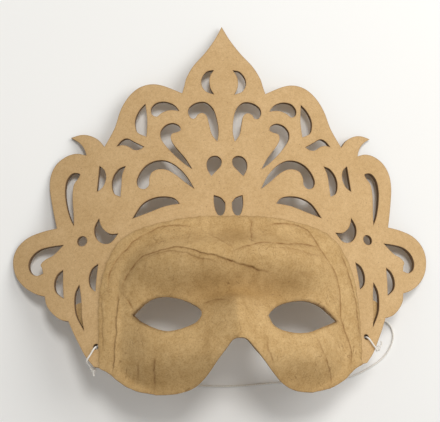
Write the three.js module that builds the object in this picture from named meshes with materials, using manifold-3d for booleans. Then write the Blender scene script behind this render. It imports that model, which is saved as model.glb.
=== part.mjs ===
// Blank mask for decoupage: a pulp half mask with a bent fretwork crown board
// and a thin white elastic, lying loose on its back.
// Millimetres. The mask is laid out with X to its right as seen from the front,
// Y up to the crown and Z out of the face, then tipped into its resting pose.
import * as THREE from "three";
import { mergeVertices } from "three/addons/utils/BufferGeometryUtils.js";
import Module from "manifold-3d";

const wasm = await Module();
wasm.setup();

// Driving sizes
const BEND_RADIUS = 205; // front face of the board, bent about an upright line
const BOARD_THICKNESS = 2;
const FACET_WIDTH = 24; // flat strips that make up the bend
const GLUE_GAP = 0.3;
const STRIP_THICKNESS = 1; // pasted paper over the board's inner rim
const SHELL_THICKNESS = 1.8;
const FLAP_THICKNESS = 1.5; // temple of the half mask, glued behind the board
const HOLE_RADIUS = 1.5; // punched by hand for the elastic
const RIGHT_HOLE = [73.8, -66.1];
const LEFT_HOLE = [71.9, -69.6]; // given as if on the right
const OUTLINE_SLACK = 0.18; // how far a straight piece may leave the curve it follows
const PIERCING_SLACK = 0.25;
const FACE_GRID = 6.2;

// Resting pose: the board lies on the backs of its four side lobes, so the
// crown dips and the chin side stands clear of the floor.
const REST_TILT = THREE.MathUtils.degToRad(-15.15);
const FLOOR_DEPTH = 31.4; // from the board's front centre line, square to the floor

// Elastic
const CORD_RADIUS = 0.5;
const CORD_SIDES = 8;
const KNOT_RADIUS = 1.5;

// Right half of the board laid flat, clockwise from the tip of the finial.
// Each row is one smooth curve, and rows meet in a sharp corner.
const BOARD_EDGE = [
  // spade finial
  [[0, 107.5], [4.2, 99.6], [9.8, 91.6], [16.4, 84], [20.4, 77], [21.8, 71.8], [23, 68]],
  // shoulder lobe
  [[23, 68], [33.5, 73], [40.5, 74.2], [47, 72.4], [52.6, 67.6], [57, 60.4], [60.6, 50], [66.3, 40.2]],
  // thorn
  [[66.3, 40.2], [70, 44.8], [75, 47.8], [80, 48.8], [85.7, 47.9]],
  [[85.7, 47.9], [81, 44.6], [78, 40.6], [76.6, 36.4]],
  // upper side lobe
  [[76.6, 36.4], [82, 38.2], [88, 37.6], [94, 34.2], [97.6, 28.4], [98.4, 20.5], [96.6, 9], [94, -2.8]],
  // great side lobe
  [
    [94, -2.8], [103, -3.5], [112, -5.5], [118.6, -10], [121.4, -16.6],
    [119.8, -25], [114.6, -32], [107.6, -37], [101.3, -39.5],
  ],
  // small lower lobe
  [[101.3, -39.5], [100, -44.8], [96.2, -49.8], [91.8, -53.2], [87.3, -54.6]],
  // tapering arm
  [[87.3, -54.6], [84.2, -61.6], [80.8, -68.4], [77.6, -74.4], [73.2, -80]],
  [[73.2, -80], [63, -82.6]],
  // rim of the opening behind the face
  [
    [63, -82.6], [62.5, -62], [61.5, -45], [58.5, -30.5],
    [51.5, -20], [38, -13.6], [20, -11.4], [0, -11],
  ],
];

// Piercings of the right half, each a closed ring of smooth curves.
const PIERCINGS = [
  // crescent in the finial
  [
    [[5.2, 81.4], [9, 80.6], [11.8, 77], [12.2, 72.8], [10, 68.8], [5.6, 67]],
    [[5.6, 67], [7.4, 70.6], [7.9, 74.4], [7.3, 78], [5.2, 81.4]],
  ],
  // crook beside the centre
  [
    [
      [4.8, 39.6], [3.9, 45], [4.5, 52], [6.4, 58.6], [10.4, 62.4], [15.4, 62.2],
      [19.2, 59.6], [20, 56.2], [18.4, 53.2], [16.2, 53.2], [15, 55.2], [12.4, 56.2],
      [10, 54.4], [8.8, 49.4], [7.6, 43.8], [4.8, 39.6],
    ],
  ],
  // hook in the shoulder lobe
  [
    [
      [24.8, 57.7], [27.6, 61.4], [32.6, 63.5], [37.4, 62.9], [40, 60],
      [39.8, 56.6], [37.2, 55], [34.4, 57], [30, 58.4], [24.8, 57.7],
    ],
  ],
  // half moon in the shoulder lobe
  [
    [[43.2, 63], [46.4, 59.6], [48.7, 55], [49, 50.6], [47.6, 46.4], [43, 43.8]],
    [[43, 43.8], [42.4, 53], [43.2, 63]],
  ],
  // leaning crook
  [
    [
      [18.8, 24], [23, 27.2], [28, 32.2], [32.4, 37.6], [35, 42], [35.2, 46.2],
      [32.6, 49.6], [28.6, 50.8], [25.2, 49.2], [24.4, 46.6], [26.6, 45.4], [29.2, 44.6],
      [29.8, 41.8], [27.8, 37.6], [22.4, 30.4], [18.8, 24],
    ],
  ],
  // small leaf under the shoulder
  [
    [[44.4, 38.1], [49.4, 41.2], [53.4, 43.6], [56.6, 42.8], [59.5, 39.6]],
    [[59.5, 39.6], [56.2, 40.1], [52.8, 38.8], [50, 36.8], [47, 36.6], [44.4, 38.1]],
  ],
  // drop beside the centre
  [
    [
      [8.6, 19.8], [6.2, 22.4], [3.4, 25.6], [3, 29], [5.4, 31.2],
      [8.8, 30.6], [10.8, 27.6], [10.6, 23.6], [8.6, 19.8],
    ],
  ],
  // great hook
  [
    [
      [18, 12.8], [21.2, 19], [25, 24], [29.4, 27.7], [34, 29.6], [39, 29.4], [43.6, 27.2],
      [46.9, 23.4], [48.7, 18.8], [47.6, 15.2], [44.6, 14], [42.2, 16], [41.9, 19.8], [40.4, 23.2],
      [36.8, 24.7], [32.2, 24], [27.6, 21], [23, 16.8], [18, 12.8],
    ],
  ],
  // half moon beyond the great hook
  [
    [[54.6, 27.9], [58.4, 26.6], [61.4, 22.8], [62.4, 18], [61.2, 13], [57.8, 10.8]],
    [[57.8, 10.8], [57.2, 17], [56.6, 23], [54.6, 27.9]],
  ],
  // narrow half moon
  [
    [[70.8, 14.9], [67.4, 17.4], [65.6, 22], [66.4, 26.6], [69.2, 29.5]],
    [[69.2, 29.5], [70.8, 14.9]],
  ],
  // long drop in the upper side lobe
  [
    [
      [84, -2.8], [86.4, 2.4], [88.4, 10], [89.2, 18], [88, 24], [84.6, 27.2],
      [80.4, 26.2], [81.6, 23.6], [84, 20.6], [84.8, 14], [84.2, 4], [84, -2.8],
    ],
  ],
  // crescent over the temple
  [
    [[69.7, -0.2], [72.3, -5], [71.8, -10.2], [68.4, -14], [63.4, -14.3], [59.2, -9.6]],
    [[59.2, -9.6], [63.4, -9.4], [66.9, -7], [68.9, -3.6], [69.7, -0.2]],
  ],
  // leaf over the brow
  [
    [[26, 4.8], [29, 8], [34.6, 9.2], [40.8, 8.4], [46.4, 5.2], [51.4, -2]],
    [[51.4, -2], [43, 0.6], [34, 3.6], [26, 4.8]],
  ],
  // slot beside the centre line
  [
    [[1.8, 4.8], [4, 7.6], [7.7, 9]],
    [[7.7, 9], [7.8, 4.4], [7, 0.2], [5.6, -2.2], [3.6, -2.2], [2, 0.6], [1.8, 4.8]],
  ],
  // hook in the great side lobe
  [
    [
      [90, -12.6], [97, -12.5], [104, -13.2], [109, -16],
      [111.4, -20.4], [110.2, -25], [106.4, -27.4], [102.4, -26.8],
    ],
    [[102.4, -26.8], [102.9, -24], [103.8, -21.6], [101, -19.3], [96, -17.4], [90, -12.6]],
  ],
  // half moon under the great side lobe
  [
    [[90.4, -26.3], [93.8, -28.6], [95.6, -33], [94.6, -38], [90, -42]],
    [[90, -42], [90.4, -34], [90.4, -26.3]],
  ],
  // half moon at the temple
  [
    [[70.3, -25.3], [73.8, -27.6], [75.6, -32.4], [74.8, -37.4], [72, -40.2]],
    [[72, -40.2], [71.4, -33], [70.3, -25.3]],
  ],
  // long slot in the arm
  [
    [[81, -35.5], [83.4, -40], [83.8, -46], [82.6, -52.6], [78.4, -60.6]],
    [[78.4, -60.6], [79.6, -53], [79.9, -44], [81, -35.5]],
  ],
];
const ROUND_HOLE = { at: [79.3, -11.8], radius: 2.8 };

// Temple flap behind the board's arm, and the web that joins it to the shell.
const FLAP_EDGE = [
  [[57.6, -46], [79, -44.6], [84.8, -46.4]],
  [[84.8, -46.4], [83.8, -54], [80.6, -62.4], [75.6, -71.4], [70.6, -77.4]],
  [[70.6, -77.4], [58.6, -79.4]],
];
const WEB_EDGE = [[58.6, -79.4], [57.6, -46], [60.6, -46], [61.4, -62], [61.8, -79.4]];

// Right half of the half mask seen from the front: rim of the pasted strips,
// then the free lower edge of the cheek up to the notch over the nose.
const FACE_EDGE = [
  [
    [0, -2.8], [18, -3], [35, -5.2], [49, -8.8], [58, -14.4],
    [64, -24], [67.6, -36], [69, -50], [69.2, -66], [68.8, -81.2],
  ],
  [
    [68.8, -81.2], [63.8, -84.4], [57.8, -90], [50, -94.4],
    [40, -97], [30.4, -97.2], [22.6, -94.8], [17.4, -90.4],
  ],
  [[17.4, -90.4], [12.4, -84.2], [7.2, -77.7], [3.5, -73.9], [0, -73.4]],
];
// The two eyes were cut by hand and differ a little. Both are given as if on the right.
const RIGHT_EYE = [
  [
    [54.9, -59.3], [50.3, -61.8], [45, -64.6], [38.9, -67.6],
    [32, -69], [24, -68.2], [18.8, -65.4], [16.6, -60.2],
  ],
  [
    [16.6, -60.2], [19, -56.6], [23.2, -53.1], [29.4, -50.6],
    [35.6, -49.6], [41.1, -50.1], [46.8, -52.6], [54.9, -59.3],
  ],
];
const LEFT_EYE = [
  [
    [50.9, -55.2], [47.5, -59.4], [42.7, -63.1], [37.9, -65.8],
    [33, -66.8], [25, -64.8], [19.6, -62], [16.4, -58.2],
  ],
  [
    [16.4, -58.2], [20.2, -52.8], [24.6, -49.9], [30.1, -47.8],
    [36.6, -46.9], [43.4, -48.6], [50.9, -55.2],
  ],
];

// Relief of the half mask over its pasted rim
const RELIEF = {
  side: 59, // where the relief starts, left and right of the centre line
  top: -7, // where it starts under the crown
  topDrop: 27, // how far that line falls towards the temples
  rise: 17,
  body: 9,
  brow: 6.5,
  browAt: -27,
  cheek: 6,
  cheekAt: -73,
  nose: 11,
  eyeHollow: 3,
  eyeAt: -54,
  jawTurn: 7,
};

const smooth = (t) => {
  const s = Math.min(Math.max(t, 0), 1);
  return s * s * (3 - 2 * s);
};
const bell = (offset, width) => Math.exp(-0.5 * (offset / width) ** 2);

// Height of the board's bent front face at a distance x from the centre line.
const boardHeight = (x) => Math.sqrt(BEND_RADIUS ** 2 - x ** 2) - BEND_RADIUS;

// A point of the flat board after bending: across, up, and out of its front face.
function onBend(across, up, out) {
  const angle = across / BEND_RADIUS;
  const reach = BEND_RADIUS + out;
  return new THREE.Vector3(reach * Math.sin(angle), up, reach * Math.cos(angle) - BEND_RADIUS);
}

// Height of the face over its pasted rim.
function reliefHeight(x, y) {
  const across = Math.abs(x);
  const dome = Math.max(1 - (across / RELIEF.side) ** 2.4, 0);
  const rimTop = RELIEF.top - RELIEF.topDrop * Math.min(across / 61, 1) ** 5;
  const rise = smooth((rimTop - y) / RELIEF.rise) * dome;
  const noseWidth = 8 + 6 * smooth((-y - 45) / 40);
  const cheek = bell(y - RELIEF.cheekAt, 13) * bell(across - 32, 22) * smooth(dome * 2);
  const brow = bell(y - RELIEF.browAt, 10) * rise;
  const nose = smooth((-y - 30) / 42) * bell(across, noseWidth);
  const eyeHollow = bell(y - RELIEF.eyeAt, 9) * bell(across - 33, 14);
  const height =
    RELIEF.body * rise +
    RELIEF.brow * brow +
    RELIEF.cheek * cheek +
    RELIEF.nose * nose -
    RELIEF.eyeHollow * eyeHollow -
    RELIEF.jawTurn * smooth((-y - 80) / 18);
  return Math.max(height, 0);
}

const rimBack = (x) => boardHeight(x) + GLUE_GAP;
function faceFront(x, y) {
  return rimBack(x) + STRIP_THICKNESS + reliefHeight(x, y);
}
// The shell thickens from the pasted rim inwards.
function faceBack(x, y) {
  const grown = smooth((reliefHeight(x, y) - 0.2) / 5);
  const thickness = STRIP_THICKNESS + (SHELL_THICKNESS - STRIP_THICKNESS) * grown;
  const slopeX = (faceFront(x + 1, y) - faceFront(x - 1, y)) / 2;
  const slopeY = (faceFront(x, y + 1) - faceFront(x, y - 1)) / 2;
  const lean = Math.min(Math.hypot(1, slopeX * grown, slopeY * grown), 1.6);
  return faceFront(x, y) - thickness * lean;
}

// Drops the points of a line that lie within the slack of its longer pieces.
function thinned(points, slack) {
  const first = points[0];
  const last = points[points.length - 1];
  const chord = last.clone().sub(first);
  const away = (p) => {
    if (chord.length() < slack) return p.distanceTo(first);
    return Math.abs(chord.cross(p.clone().sub(first))) / chord.length();
  };
  let farthest = 0;
  points.forEach((p, i) => {
    if (away(p) > away(points[farthest])) farthest = i;
  });
  if (away(points[farthest]) < slack) return [first, last];
  const before = thinned(points.slice(0, farthest + 1), slack);
  return [...before.slice(0, -1), ...thinned(points.slice(farthest), slack)];
}

// Points of a run of smooth curves, corners kept.
function tracePoints(curves, slack) {
  return curves.flatMap((row) => {
    const curve = new THREE.SplineCurve(row.map(([x, y]) => new THREE.Vector2(x, y)));
    const fine = curve.getPoints(row.length * 8);
    return thinned(fine, slack).slice(0, -1);
  });
}

const mirrored = (points) => points.map((p) => new THREE.Vector2(-p.x, p.y)).reverse();

// Both halves of an outline whose right half runs from centre line to centre line.
function wholeOutline(halfCurves, slack) {
  const right = tracePoints(halfCurves, slack);
  const lastCurve = halfCurves[halfCurves.length - 1];
  const [endX, endY] = lastCurve[lastCurve.length - 1];
  right.push(new THREE.Vector2(endX, endY));
  const left = mirrored(right).slice(1, -1);
  return [...right, ...left];
}

function circlePoints([x, y], radius, sides) {
  return new THREE.Path().absarc(x, y, radius, 0, 2 * Math.PI).getSpacedPoints(sides).slice(0, -1);
}

function slab(outline, holes, low, high) {
  const clockwise = THREE.ShapeUtils.isClockWise(outline);
  const shape = new THREE.Shape(clockwise ? [...outline].reverse() : outline);
  shape.holes = holes.map((points) => new THREE.Path(points));
  const geometry = new THREE.ExtrudeGeometry(shape, { depth: high - low, bevelEnabled: false });
  return geometry.translate(0, 0, low);
}

const cleaned = (geometry) => {
  geometry.deleteAttribute("normal");
  geometry.deleteAttribute("uv");
  return mergeVertices(geometry, 1e-4);
};

// Cuts a convex ring of points at x = limit and keeps the part on one side.
function clipRing(ring, limit, side) {
  const kept = [];
  ring.forEach((from, i) => {
    const to = ring[(i + 1) % ring.length];
    const fromIn = (from.x - limit) * side >= 0;
    const toIn = (to.x - limit) * side >= 0;
    if (fromIn) kept.push(from);
    if (fromIn === toIn) return;
    const [low, high] = from.x < to.x ? [from, to] : [to, from];
    const crossing = low.clone().lerp(high, (limit - low.x) / (high.x - low.x));
    crossing.x = limit;
    if (crossing.distanceTo(fromIn ? from : to) > 1e-6) kept.push(crossing);
  });
  return kept;
}

// Bends a flat slab about an upright line behind it. Its triangles are first
// cut into upright strips, and each strip stays flat.
function bent(geometry) {
  const flat = geometry.index ? geometry.toNonIndexed() : geometry;
  const position = flat.getAttribute("position");
  let rings = [];
  for (let i = 0; i < position.count; i += 3) {
    rings.push([0, 1, 2].map((k) => new THREE.Vector3().fromBufferAttribute(position, i + k)));
  }
  flat.computeBoundingBox();
  const { min, max } = flat.boundingBox;
  const joint = (strip) => (strip - 0.5) * FACET_WIDTH;
  const firstStrip = Math.round(min.x / FACET_WIDTH);
  for (let strip = firstStrip; joint(strip) < max.x; strip += 1) {
    const limit = joint(strip);
    rings = rings.flatMap((ring) => {
      const crosses = ring.some((p) => p.x < limit) && ring.some((p) => p.x > limit);
      return crosses ? [clipRing(ring, limit, -1), clipRing(ring, limit, 1)] : [ring];
    });
  }
  const curled = rings.flatMap((ring) => {
    const middle = ring.reduce((sum, p) => sum + p.x, 0) / ring.length;
    const strip = Math.round(middle / FACET_WIDTH);
    const corners = ring.map((p) => {
      const along = (p.x - joint(strip)) / FACET_WIDTH;
      return onBend(joint(strip), p.y, p.z).lerp(onBend(joint(strip + 1), p.y, p.z), along);
    });
    return corners.slice(2).flatMap((corner, k) => [corners[0], corners[k + 1], corner]);
  });
  return cleaned(new THREE.BufferGeometry().setFromPoints(curled));
}

const solidOf = (geometry) => {
  const closed = cleaned(geometry.clone());
  return new wasm.Manifold(
    new wasm.Mesh({
      numProp: 3,
      vertProperties: closed.getAttribute("position").array,
      triVerts: new Uint32Array(closed.index.array),
    }),
  );
};

const geometryOf = (solid) => {
  const { vertProperties, triVerts } = solid.getMesh();
  const geometry = new THREE.BufferGeometry();
  geometry.setAttribute("position", new THREE.BufferAttribute(vertProperties, 3));
  geometry.setIndex(new THREE.BufferAttribute(triVerts, 1));
  return geometry;
};

function crownBoard() {
  const outline = wholeOutline(BOARD_EDGE, OUTLINE_SLACK);
  const rings = PIERCINGS.map((curves) => tracePoints(curves, PIERCING_SLACK));
  rings.push(circlePoints(ROUND_HOLE.at, ROUND_HOLE.radius, 12));
  const holes = rings.flatMap((points) => [points, mirrored(points)]);
  holes.push(circlePoints(RIGHT_HOLE, HOLE_RADIUS, 10));
  holes.push(mirrored(circlePoints(LEFT_HOLE, HOLE_RADIUS, 10)));
  const board = solidOf(bent(slab(outline, holes, -BOARD_THICKNESS, 0)));
  // The floor takes a hair off the lobes, so that they rest on small flats.
  const floor = new THREE.BoxGeometry(300, 300, 20).translate(0, 0, -FLOOR_DEPTH - 10);
  return geometryOf(board.subtract(solidOf(floor.rotateX(-REST_TILT))));
}

// Closed sheet between two height functions over a rectangle.
function sheet(front, back, [minX, maxX], [minY, maxY], step) {
  const columns = Math.round((maxX - minX) / step);
  const rows = Math.round((maxY - minY) / step);
  const at = (i, j, height) => {
    const x = minX + ((maxX - minX) * i) / columns;
    const y = minY + ((maxY - minY) * j) / rows;
    return new THREE.Vector3(x, y, height(x, y));
  };
  const corners = [];
  const quad = (a, b, c, d) => corners.push(a, b, c, a, c, d);
  for (let i = 0; i < columns; i += 1) {
    for (let j = 0; j < rows; j += 1) {
      quad(at(i, j, front), at(i + 1, j, front), at(i + 1, j + 1, front), at(i, j + 1, front));
      quad(at(i, j, back), at(i, j + 1, back), at(i + 1, j + 1, back), at(i + 1, j, back));
    }
  }
  for (let i = 0; i < columns; i += 1) {
    quad(at(i, 0, back), at(i + 1, 0, back), at(i + 1, 0, front), at(i, 0, front));
    quad(at(i, rows, front), at(i + 1, rows, front), at(i + 1, rows, back), at(i, rows, back));
  }
  for (let j = 0; j < rows; j += 1) {
    quad(at(0, j, front), at(0, j + 1, front), at(0, j + 1, back), at(0, j, back));
    quad(at(columns, j, back), at(columns, j + 1, back), at(columns, j + 1, front), at(columns, j, front));
  }
  return new THREE.BufferGeometry().setFromPoints(corners);
}

function faceShell() {
  const whole = sheet(faceFront, faceBack, [-74, 74], [-104, 2], FACE_GRID);
  const trim = slab(wholeOutline(FACE_EDGE, OUTLINE_SLACK), [], -40, 60);
  const flapLow = -BOARD_THICKNESS - GLUE_GAP - FLAP_THICKNESS;
  const flap = tracePoints(FLAP_EDGE, OUTLINE_SLACK);
  const web = WEB_EDGE.map(([x, y]) => new THREE.Vector2(x, y));
  let shell = solidOf(whole).intersect(solidOf(trim));
  const sides = [
    { eye: RIGHT_EYE, holeAt: RIGHT_HOLE, turn: (points) => points },
    { eye: LEFT_EYE, holeAt: LEFT_HOLE, turn: mirrored },
  ];
  for (const { eye, holeAt, turn } of sides) {
    const eyeRing = turn(tracePoints(eye, OUTLINE_SLACK));
    const hole = circlePoints(holeAt, HOLE_RADIUS, 10);
    shell = shell.subtract(solidOf(slab(eyeRing, [], -40, 60)));
    const flapHigh = flapLow + FLAP_THICKNESS;
    shell = shell.add(solidOf(bent(slab(turn(flap), [turn(hole)], flapLow, flapHigh))));
    shell = shell.add(solidOf(bent(slab(turn(web), [], flapLow, GLUE_GAP + STRIP_THICKNESS / 2))));
  }
  return geometryOf(shell);
}

function tube(points, steps) {
  const section = new THREE.Shape(circlePoints([0, 0], CORD_RADIUS, CORD_SIDES));
  const extrudePath = new THREE.CatmullRomCurve3(points, false, "centripetal");
  return new THREE.ExtrudeGeometry(section, { steps, extrudePath, bevelEnabled: false });
}

// One end of the elastic: a strand through the punched hole and round the
// board's edge, the knot that closes it, and the short free tail.
function tie({ side, strand, tail }) {
  const placed = (points) => points.map((p) => onBend(...p).multiply(new THREE.Vector3(side, 1, 1)));
  const [knot] = placed(strand);
  const ball = new THREE.IcosahedronGeometry(KNOT_RADIUS, 1).scale(1, 1.15, 0.9);
  return geometryOf(
    solidOf(tube(placed(strand), 20))
      .add(solidOf(tube(placed(tail), 3)))
      .add(solidOf(ball.translate(knot.x, knot.y, knot.z))),
  );
}

const LEFT_TIE = {
  side: -1,
  strand: [
    [75.2, -80.4, -4.6], [73.8, -76.4, -5], [72.6, -72.4, -5.2], [71.9, -70.1, -5], [71.9, -69.6, -3.4],
    [71.9, -69.6, -0.8], [72, -69.9, 0.5], [72.7, -71, 1.2], [74.4, -73.6, 1.3], [76, -75.8, 1.2],
    [76.9, -76.9, 0.4], [77.2, -77.4, -1.2], [76.6, -78.4, -3], [75.2, -80.4, -4.6],
  ],
  tail: [[75.2, -80.4, -4.6], [74.8, -82.4, -4.2], [74.6, -84.2, -4]],
};
const RIGHT_TIE = {
  side: 1,
  strand: [
    [82.8, -70.8, -2.4], [80.6, -69.6, -4.6], [77.6, -67.8, -5.2], [74.8, -66.4, -5.2], [73.8, -66.1, -3.4],
    [73.8, -66.1, -0.8], [74, -66.4, 0.5], [75, -67.6, 1.2], [76.8, -70, 1.3], [78.6, -72.1, 1.2],
    [79.6, -73, 0.4], [80.6, -72.8, -0.8], [81.8, -71.8, -1.8], [82.8, -70.8, -2.4],
  ],
  tail: [[82.8, -70.8, -2.4], [84.4, -69.4, -1.6], [84.2, -67.4, -1.2]],
};

// The slack elastic between the two knots, in the resting pose: it drops to
// the floor from both and lies in a loose curl beyond the right cheek.
const CORD_RUN = [
  [-71.6, -82.2, 33.3], [-70.2, -80.8, 25], [-68, -79.4, 16], [-65, -79.4, 8], [-61, -80.6, 2.8],
  [-55.6, -82.8, 0.8], [-47, -86.2, 0.7], [-32, -91, 0.7], [-14, -94.2, 0.7], [0, -94.9, 0.7],
  [14, -94.5, 0.7], [32, -93.3, 0.7], [53, -92.8, 0.7], [71.5, -90.4, 0.7], [82.4, -85.4, 0.7],
  [89.6, -80.2, 0.7], [94, -74, 0.7], [95.4, -68, 0.7], [93.6, -62.6, 0.7], [89.2, -59.4, 0.7],
  [84, -59.6, 0.7], [79.8, -62.4, 1], [77.8, -66.2, 3.4], [77.8, -69.4, 8.8], [78.4, -71.6, 16],
  [79.2, -72.9, 24.6], [79.5, -73.3, 30.1],
];

const KRAFT_BOARD = new THREE.MeshStandardMaterial({ color: 0xbc9c6c, roughness: 0.9 });
const KRAFT_PAPER = new THREE.MeshStandardMaterial({ color: 0xb2905e, roughness: 0.95 });

function named(name, geometry, material) {
  const mesh = new THREE.Mesh(geometry, material);
  mesh.name = name;
  return mesh;
}

const WHITE_ELASTIC = new THREE.MeshStandardMaterial({ color: 0xf2f0ea, roughness: 0.7 });

const mask = new THREE.Group();
mask.add(named("fretwork_crown", crownBoard(), KRAFT_BOARD));
mask.add(named("face_shell", faceShell(), KRAFT_PAPER));
mask.rotation.x = REST_TILT;
mask.position.z = FLOOR_DEPTH;

// The origin is under the middle of the rigid mask.
const resting = new THREE.Group();
resting.add(mask);
const { min, max } = new THREE.Box3().setFromObject(resting, true);
resting.position.y = -(min.y + max.y) / 2;

mask.add(named("tie_left", tie(LEFT_TIE), WHITE_ELASTIC));
mask.add(named("tie_right", tie(RIGHT_TIE), WHITE_ELASTIC));
const run = CORD_RUN.map((p) => new THREE.Vector3(...p));
resting.add(named("elastic_cord", tube(run, 76), WHITE_ELASTIC));

const part = new THREE.Group();
part.add(resting);
export default part;
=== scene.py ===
"""Blank decoupage mask: a kraft half mask of pasted paper on a bent fretwork board,
with a thin white elastic, lying loose on its back."""

import math

import bpy
import numpy as np
from mathutils import Matrix, Vector, noise
from mathutils.geometry import delaunay_2d_cdt


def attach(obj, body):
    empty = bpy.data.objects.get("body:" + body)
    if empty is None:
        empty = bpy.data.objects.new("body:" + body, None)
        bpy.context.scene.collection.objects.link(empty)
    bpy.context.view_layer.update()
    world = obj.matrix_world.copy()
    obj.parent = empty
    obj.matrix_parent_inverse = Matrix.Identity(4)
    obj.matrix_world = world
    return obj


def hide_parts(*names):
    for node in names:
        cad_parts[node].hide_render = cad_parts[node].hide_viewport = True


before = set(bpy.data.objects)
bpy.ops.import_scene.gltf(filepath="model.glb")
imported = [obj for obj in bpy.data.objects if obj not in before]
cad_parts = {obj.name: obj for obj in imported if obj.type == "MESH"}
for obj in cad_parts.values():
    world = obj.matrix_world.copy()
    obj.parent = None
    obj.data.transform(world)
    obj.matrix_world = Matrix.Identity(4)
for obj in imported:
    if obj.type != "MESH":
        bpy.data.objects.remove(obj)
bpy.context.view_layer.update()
noise.seed_set(7)

# Sizes in millimetres, laid out as in the CAD model: X right as seen from the
# front, Y up to the crown, Z out of the face.
METRE = 1000
BEND_RADIUS = 205
BOARD_THICKNESS = 2
BOARD_WARP = 0.22
PASTE_GAP = 0.05  # from the CAD's board face, back to this board and out to the half mask
SHELL_THICKNESS = 1.8
RIM_THICKNESS = 0.45  # the pasted rim thins out towards its torn edge
RIM_GAIN = 0.5  # what it gains further in
FLAP_THICKNESS = 1.5
FLAP_GAP = 0.25  # between the board's back and the temples of the half mask
HOLE_AT = {1: (73.8, -66.1), -1: (71.9, -69.6)}  # right and left, both as if on the right
HOLE_RADIUS = 1.5
CORD_RADIUS = 0.5
STRAND_RADIUS = 0.46  # the ties are pulled a little thinner
KNOT_RADIUS = 1.25

# Spacing of the meshes in millimetres, along edges and over the grids between them
BOARD_STEP = 0.9
PIERCING_STEP = 0.8
BOARD_GRID = 2.2
FACE_STEP = 0.8
EYE_STEP = 0.7
FACE_GRID = 1.35
SEAM_STEP = 0.9
FLAP_STEP = 1.0
FLAP_GRID = 1.8
CORD_STEP = 1.2
STRAND_STEP = 0.35
TAIL_STEP = 0.4

# Shares of a grid's step: between rows, and how far and how finely points stray
GRID_ROW = 0.87
GRID_STRAY = 0.3
GRID_GRAIN = 1.7

# Which slice of the smooth noise each form takes
SLICE = {
    "board grid": 3.0,
    "board warp": 7.5,
    "right edge": 11.0,
    "left edge": 13.0,
    "right eye": 15.0,
    "left eye": 16.0,
    "flap edge": 17.0,
    "face grid": 6.0,
    "flap grid": 9.0,
    "seam waver": 40.0,
    "seam tearing": 20.0,
    "crease wear": 31.0,
}

# Resting pose
REST_TILT = math.radians(-15.15)
FLOOR_DEPTH = 31.4
CENTRE_SHIFT = -4.712
TO_ROW = (
    Matrix.Scale(1 / METRE, 4)
    @ Matrix.Translation((0, CENTRE_SHIFT, FLOOR_DEPTH))
    @ Matrix.Rotation(REST_TILT, 4, "X")
)


def add_object(name, data):
    added = bpy.data.objects.new(name, data)
    bpy.context.scene.collection.objects.link(added)
    return added


# Camera: where the mask stands in front of it, in the mask's own directions
VIEW_TURN, VIEW_NOD, VIEW_ROLL = (math.radians(a) for a in (6.6, -18, 2.15))
VIEW_DISTANCE = 700
PIXEL = 0.53  # millimetres to a pixel at that distance
MASK_OFFSET = 8.9  # pixels from the middle of the picture to the mask's centre
FRAME_WIDTH = 440
SENSOR_WIDTH = 36
NEAREST = 0.05  # metres
FARTHEST = 20


def make_camera():
    data = bpy.data.cameras.new("camera")
    data.sensor_fit = "HORIZONTAL"
    data.sensor_width = SENSOR_WIDTH
    data.lens = SENSOR_WIDTH * VIEW_DISTANCE / (PIXEL * FRAME_WIDTH)
    data.clip_start = NEAREST
    data.clip_end = FARTHEST
    camera = add_object("camera", data)
    turned = (
        Matrix.Translation((MASK_OFFSET * PIXEL, 0, 0))
        @ Matrix.Rotation(VIEW_ROLL, 4, "Z")
        @ Matrix.Rotation(VIEW_NOD, 4, "X")
        @ Matrix.Rotation(VIEW_TURN, 4, "Y")
    )
    placed = TO_ROW @ turned.inverted() @ Matrix.Translation((0, 0, VIEW_DISTANCE))
    camera.location = placed.to_translation()
    camera.rotation_euler = placed.to_quaternion().to_euler()
    bpy.context.scene.camera = camera


make_camera()


# Materials
BLACK = (0, 0, 0)
WHITE = (1, 1, 1)


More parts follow.
